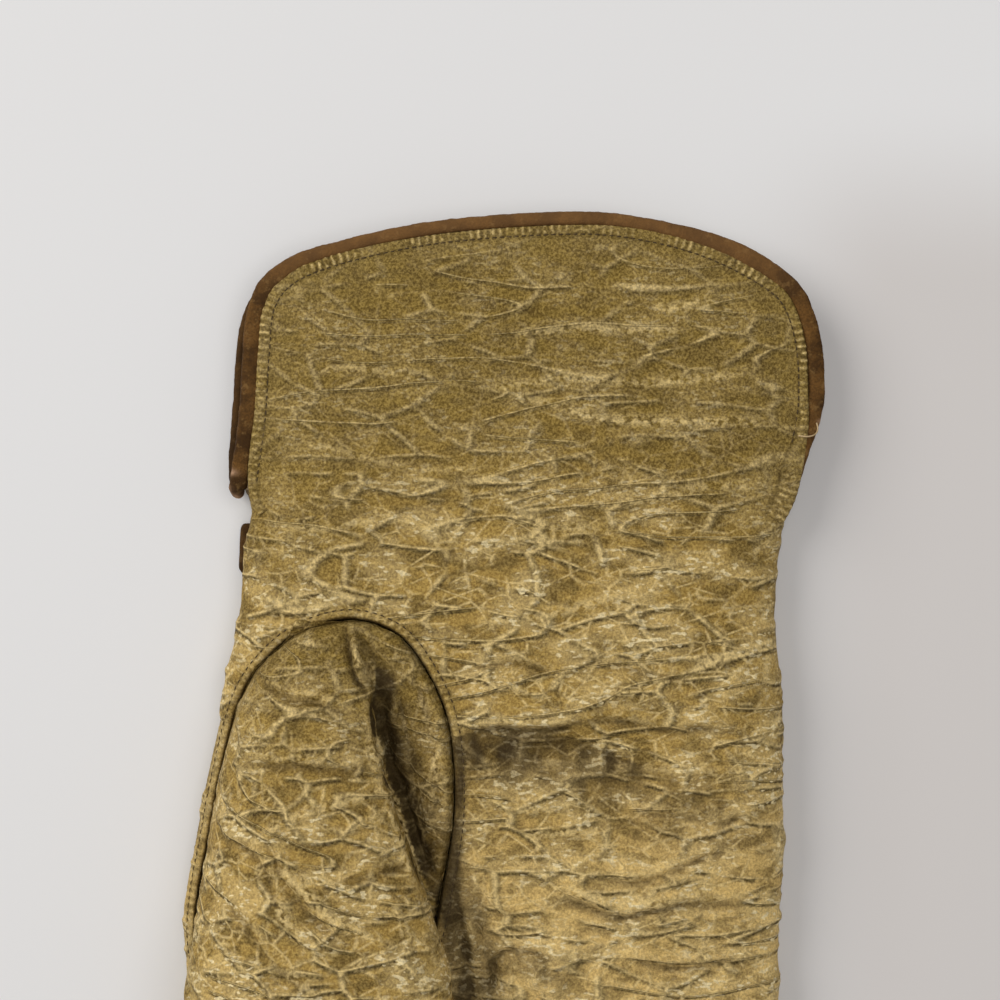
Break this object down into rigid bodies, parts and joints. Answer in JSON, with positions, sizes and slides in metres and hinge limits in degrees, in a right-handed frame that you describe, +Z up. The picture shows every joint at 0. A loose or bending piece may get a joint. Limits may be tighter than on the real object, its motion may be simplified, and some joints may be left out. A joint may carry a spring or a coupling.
{
  "type": "lined leather glove",
  "caption": "Lined leather dress glove for the right hand, lying palm up, with a set-in thumb, a bound cuff slit at both sides and a strap across the back of the wrist.",
  "frame": {"origin": "on the surface the glove lies on, under the middle of its bounding box", "axes": "+Z up out of the palm, +Y towards the cuff's mouth, -Y towards the fingertips, -X on the thumb side"},
  "size_m": [0.109, 0.2445, 0.0268],
  "materials": {
    "tan_leather": "deep shrunken grain, low sheen",
    "brown_leather": "matt, slightly napped"
  },
  "bodies": {
    "root": {"hand_shell": "tan_leather", "thumb": "tan_leather", "fourchette_index_middle": "tan_leather", "fourchette_middle_ring": "tan_leather", "fourchette_ring_little": "tan_leather", "cuff_binding": "brown_leather", "wrist_strap": "brown_leather"}
  },
  "joints": []
}
